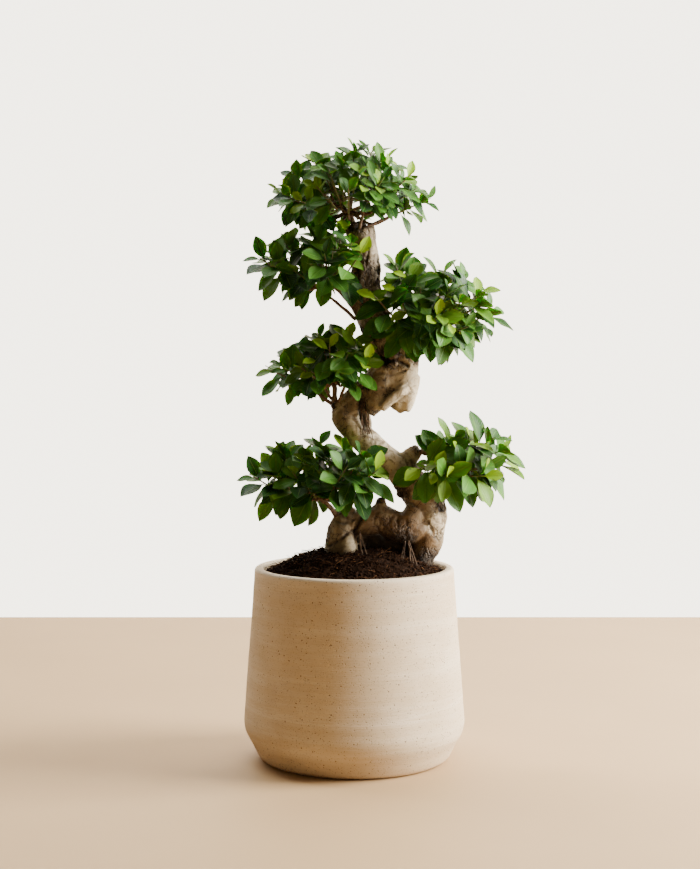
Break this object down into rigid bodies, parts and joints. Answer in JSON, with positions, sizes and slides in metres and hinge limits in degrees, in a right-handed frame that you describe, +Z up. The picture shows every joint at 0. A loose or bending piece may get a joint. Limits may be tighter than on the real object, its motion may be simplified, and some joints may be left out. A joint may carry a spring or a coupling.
{
  "type": "potted bonsai tree",
  "caption": "Small ficus bonsai with a thick S-bent trunk and separate clouds of glossy leaves, in a tapered round stoneware pot.",
  "frame": {"origin": "centre of the pot's flat underside, on the floor", "axes": "+Z up, +X to the tree's right as seen from its front, +Y to its back"},
  "size_m": [0.3942, 0.311, 0.8654],
  "materials": {
    "stoneware": "matte, speckled, with faint throwing lines",
    "potting_soil": "rough, fibrous and dark",
    "trunk_bark": "pale grey-brown bark, wrinkled at the bends",
    "twig_bark": "thin reddish-brown bark",
    "foliage": "smooth glossy green leaves"
  },
  "bodies": {
    "root": {"crown_branch": "twig_bark", "crown_shoot_01": "foliage", "crown_shoot_02": "foliage", "crown_shoot_03": "foliage", "crown_shoot_04": "foliage", "crown_shoot_05": "foliage", "crown_shoot_06": "foliage", "crown_shoot_07": "foliage", "crown_shoot_08": "foliage", "crown_shoot_09": "foliage", "crown_shoot_10": "foliage", "crown_shoot_11": "foliage", "crown_shoot_12": "foliage", "left_middle_branch": "twig_bark", "left_middle_shoot_01": "foliage", "left_middle_shoot_02": "foliage", "left_middle_shoot_03": "foliage", "left_middle_shoot_04": "foliage", "left_middle_shoot_05": "foliage", "left_middle_shoot_06": "foliage", "left_middle_shoot_07": "foliage", "left_middle_shoot_08": "foliage", "lower_left_branch": "twig_bark", "lower_left_shoot_01": "foliage", "lower_left_shoot_02": "foliage", "lower_left_shoot_03": "foliage", "lower_left_shoot_04": "foliage", "lower_left_shoot_05": "foliage", "lower_left_shoot_06": "foliage", "lower_left_shoot_07": "foliage", "lower_left_shoot_08": "foliage", "lower_right_branch": "twig_bark", "lower_right_shoot_01": "foliage", "lower_right_shoot_02": "foliage", "lower_right_shoot_03": "foliage", "lower_right_shoot_04": "foliage", "lower_right_shoot_05": "foliage", "lower_right_shoot_06": "foliage", "pot": "stoneware", "right_middle_branch": "twig_bark", "right_middle_shoot_01": "foliage", "right_middle_shoot_02": "foliage", "right_middle_shoot_03": "foliage", "right_middle_shoot_04": "foliage", "right_middle_shoot_05": "foliage", "right_middle_shoot_06": "foliage", "right_middle_shoot_07": "foliage", "right_middle_shoot_08": "foliage", "right_middle_shoot_09": "foliage", "soil": "potting_soil", "trunk": "trunk_bark", "upper_left_branch": "twig_bark", "upper_left_shoot_01": "foliage", "upper_left_shoot_02": "foliage", "upper_left_shoot_03": "foliage", "upper_left_shoot_04": "foliage", "upper_left_shoot_05": "foliage", "upper_left_shoot_06": "foliage", "upper_left_shoot_07": "foliage", "upper_left_shoot_08": "foliage"}
  },
  "joints": []
}
